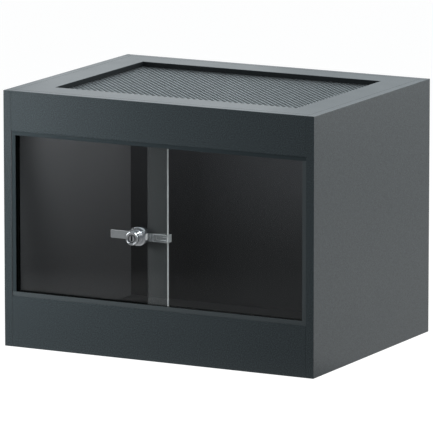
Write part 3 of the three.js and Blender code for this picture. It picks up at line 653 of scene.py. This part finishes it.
# The plug's sides and its chamfer are painted near black, as painted shade for the dark ring round the plug,
# with half a shine and a slight bumpy skin.
plug_shade, tree = bare_material("painted_shade_plug")
place = add(tree, "ShaderNodeTexCoord")
plug_bump_grain = add(tree, "ShaderNodeTexNoise", {
    "Vector": place.outputs["Object"], "Scale": 1000 / PLUG_BUMP_MM, "Detail": 1,
})
uneven = add(tree, "ShaderNodeBump", {
    "Height": plug_bump_grain.outputs["Fac"], "Strength": 0.2, "Distance": 0.00005,
})
plug_shade_surface = add(tree, "ShaderNodeBsdfPrincipled", {
    "Base Color": linear(PLUG_SHADE), "Roughness": 0.35, "Normal": uneven.outputs["Normal"],
})
add(tree, "ShaderNodeOutputMaterial", {"Surface": plug_shade_surface.outputs["BSDF"]})

# Turned brass: warm yellow metal, dulled here and there by tool marks.
brass, tree = bare_material("brass_turned")
place = add(tree, "ShaderNodeTexCoord")
turning = add(tree, "ShaderNodeTexNoise", {
    "Vector": place.outputs["Object"], "Scale": 1000 / TURNING_MM, "Detail": 1,
})
lathe = add(tree, "ShaderNodeMapRange", {"Value": turning.outputs["Fac"], "To Min": 0.2, "To Max": 0.36})
yellow = add(tree, "ShaderNodeBsdfPrincipled", {
    "Base Color": linear(BRASS), "Metallic": 1, "Roughness": lathe.outputs["Result"],
})
add(tree, "ShaderNodeOutputMaterial", {"Surface": yellow.outputs["BSDF"]})

# The hook's faces beyond the body, but for its front and back, take the painted highlight.
bar = eased("lock_hook_bar", BAR_EASE, SHORTEST_BAR_EDGE, strip, highlight_edge)
hook_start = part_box("lock_body")[1].x
for face in bar.data.polygons:
    face.material_index = 1 if face.center.x > hook_start and abs(face.normal.y) < NEARLY_SQUARE else 0
dress(nodes["lock_bar_pad"], vinyl)
dress(nodes["lock_pawl"], brass)

# The spring stands between the body and the pawl, which in the lock presses it shorter as the key turns.
# Here it is a copy of the CAD spring, which keeps its shape.
spring = bpy.data.objects.new("lock_spring_wound", nodes["lock_spring"].data.copy())
scene.collection.objects.link(spring)
dress(spring, zinc)
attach(spring, "right_door")
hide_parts("lock_spring")
low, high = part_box("lock_spring")
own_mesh(spring)

# The casting and the plug are round, so all their facets but those to the front and the rear are smoothed.
for name, width in (("lock_body", CASTING_EASE), ("lock_plug", PLUG_EASE)):
    turned = eased(name, width, SHORTEST_RIM_EDGE, chrome, plug_shade, highlight_edge, segments=3)
    for face in turned.data.polygons:
        face.use_smooth = abs(face.normal.y) < NEARLY_SQUARE
        # The plug's sides and chamfer take the painted shade.
        if name == "lock_plug" and face.normal.y > -NEARLY_SQUARE:
            face.material_index = 1
        # The body's flat on the right takes the painted highlight.
        elif name == "lock_body" and face.normal.x > SQUARE_ON and face.center.x > hook_start - FLAT_DEPTH:
            face.material_index = 2
    turned.data.set_sharp_from_angle(angle=ROUND_STEP)

# ---------------------------------------------------------------- floor, backdrop and lamps
# A plain white table before a white backdrop, with soft lamps above and to the sides, and a softbox that
# gives the chrome its highlights. The room darkens towards the front, so mirrors that face it show less white
# than those that face the backdrop.

FLOOR_LIFT = 0.93
FLOOR_GREY = (0.16, 0.16, 0.16, 1)
FLOOR_HALF = 30
FLOOR_LEVEL = -0.0003  # just below the cabinet's own underside
FLOOR_FADE = (-0.35, -0.05)  # how far to the rear the floor is dark, and from where it is white, in mirrors
ROOM_FADE = (-0.6, 0.4)  # the same for the room, by how far to the rear a ray points
FRONT_SHARE = 0.1
ROOM_LEVEL = 0.35
MIRRORED_LEVEL = 0.12
SKY_TINT, WHITE = (0.88, 0.955, 1, 1), (1, 1, 1, 1)
LAMP_TINT = (0.975, 0.993, 1.0)


def ray_kind(tree):
    """Whether a ray comes from the camera, and whether a piece has mirrored it or let it through."""
    ray = add(tree, "ShaderNodeLightPath")
    mirrored = add(tree, "ShaderNodeMath", {
        0: ray.outputs["Is Glossy Ray"], 1: ray.outputs["Is Transmission Ray"],
    }, operation="MAXIMUM")
    return ray.outputs["Is Camera Ray"], mirrored.outputs[0]


def white_share(tree, direct, mirrored, place, fade):
    """How much of the white a ray sees: all for the camera, and in mirrors less towards the front."""
    apart = add(tree, "ShaderNodeSeparateXYZ", {"Vector": place})
    rearward = add(tree, "ShaderNodeMapRange", {
        "Value": apart.outputs["Y"], "From Min": fade[0], "From Max": fade[1],
        "To Min": FRONT_SHARE, "To Max": 1,
    })
    softened = add(tree, "ShaderNodeMath", {0: mirrored, 1: rearward.outputs["Result"]}, operation="MULTIPLY")
    return add(tree, "ShaderNodeMath", {0: direct, 1: softened.outputs[0]}, operation="MAXIMUM").outputs[0]


floor_material, tree = bare_material("studio_floor")
place = add(tree, "ShaderNodeTexCoord")
direct, mirrored = ray_kind(tree)
seen = white_share(tree, direct, mirrored, place.outputs["Object"], FLOOR_FADE)
lift = add(tree, "ShaderNodeMath", {0: seen, 1: FLOOR_LIFT}, operation="MULTIPLY")
glow = add(tree, "ShaderNodeEmission", {"Color": WHITE, "Strength": lift.outputs[0]})
matt = add(tree, "ShaderNodeBsdfDiffuse", {"Color": FLOOR_GREY})
floor_surface = add(tree, "ShaderNodeAddShader", {0: glow.outputs["Emission"], 1: matt.outputs["BSDF"]})
add(tree, "ShaderNodeOutputMaterial", {"Surface": floor_surface.outputs["Shader"]})

floor_mesh = bpy.data.meshes.new("floor")
floor_mesh.from_pydata(
    [(x * FLOOR_HALF, y * FLOOR_HALF, FLOOR_LEVEL) for x, y in ((-1, -1), (1, -1), (1, 1), (-1, 1))],
    [], [(0, 1, 2, 3)],
)
floor_mesh.materials.append(floor_material)
floor = bpy.data.objects.new("floor", floor_mesh)
scene.collection.objects.link(floor)

room = bpy.data.worlds.new("white_room")
room.use_nodes = True
tree = room.node_tree
tree.nodes.clear()
place = add(tree, "ShaderNodeTexCoord")
direct, mirrored = ray_kind(tree)
seen = white_share(tree, direct, mirrored, place.outputs["Generated"], ROOM_FADE)
ambient = add(tree, "ShaderNodeMapRange", {"Value": mirrored, "To Min": ROOM_LEVEL, "To Max": MIRRORED_LEVEL})
level = add(tree, "ShaderNodeMath", {0: seen, 1: ambient.outputs["Result"]}, operation="MAXIMUM")
daylight = add(tree, "ShaderNodeMix", {"Factor": direct, "A": SKY_TINT, "B": WHITE}, data_type="RGBA")
air = add(tree, "ShaderNodeBackground", {"Color": daylight.outputs["Result"], "Strength": level.outputs[0]})
add(tree, "ShaderNodeOutputWorld", {"Surface": air.outputs["Background"]})
scene.world = room

# Only the left lamp doesn't show in mirrors, and the softbox lights nothing but them.
for name, spot, aim, size, watts in (
    ("lamp_top", (0.7, -0.4, 1.6), (-0.1, 0.1, 0.4), 0.7, 16),
    ("lamp_back", (-0.75, 1.15, 0.8), (0, -0.1, 0.45), 0.5, 0.3),
    ("lamp_left", (-0.6, -0.8, 0.38), (-0.3, -0.225, 0.34), 0.3, 8.5),
    ("lamp_softbox", (-1.5, -0.5, 0.85), (-0.036, -0.24, 0.22), 1.0, 9),
    ("lamp_right", (1.7, -0.25, 1.3), (-0.285, 0, 0.25), 0.9, 8.7),
    ("lamp_rear", (0.9, 0.8, 0.65), (0.3, 0.1, 0.35), 0.5, 4.5),
):
    lamp = bpy.data.lights.new(name, "AREA")
    lamp.shape = "SQUARE"
    lamp.size = size
    lamp.energy = watts
    lamp.color = LAMP_TINT
    stand = bpy.data.objects.new(name, lamp)
    stand.location = spot
    stand.rotation_euler = (Vector(aim) - Vector(spot)).to_track_quat("-Z", "Y").to_euler()
    stand.visible_glossy = name != "lamp_left"
    stand.visible_transmission = False
    stand.visible_diffuse = name != "lamp_softbox"
    scene.collection.objects.link(stand)

scene.view_settings.view_transform = "Standard"
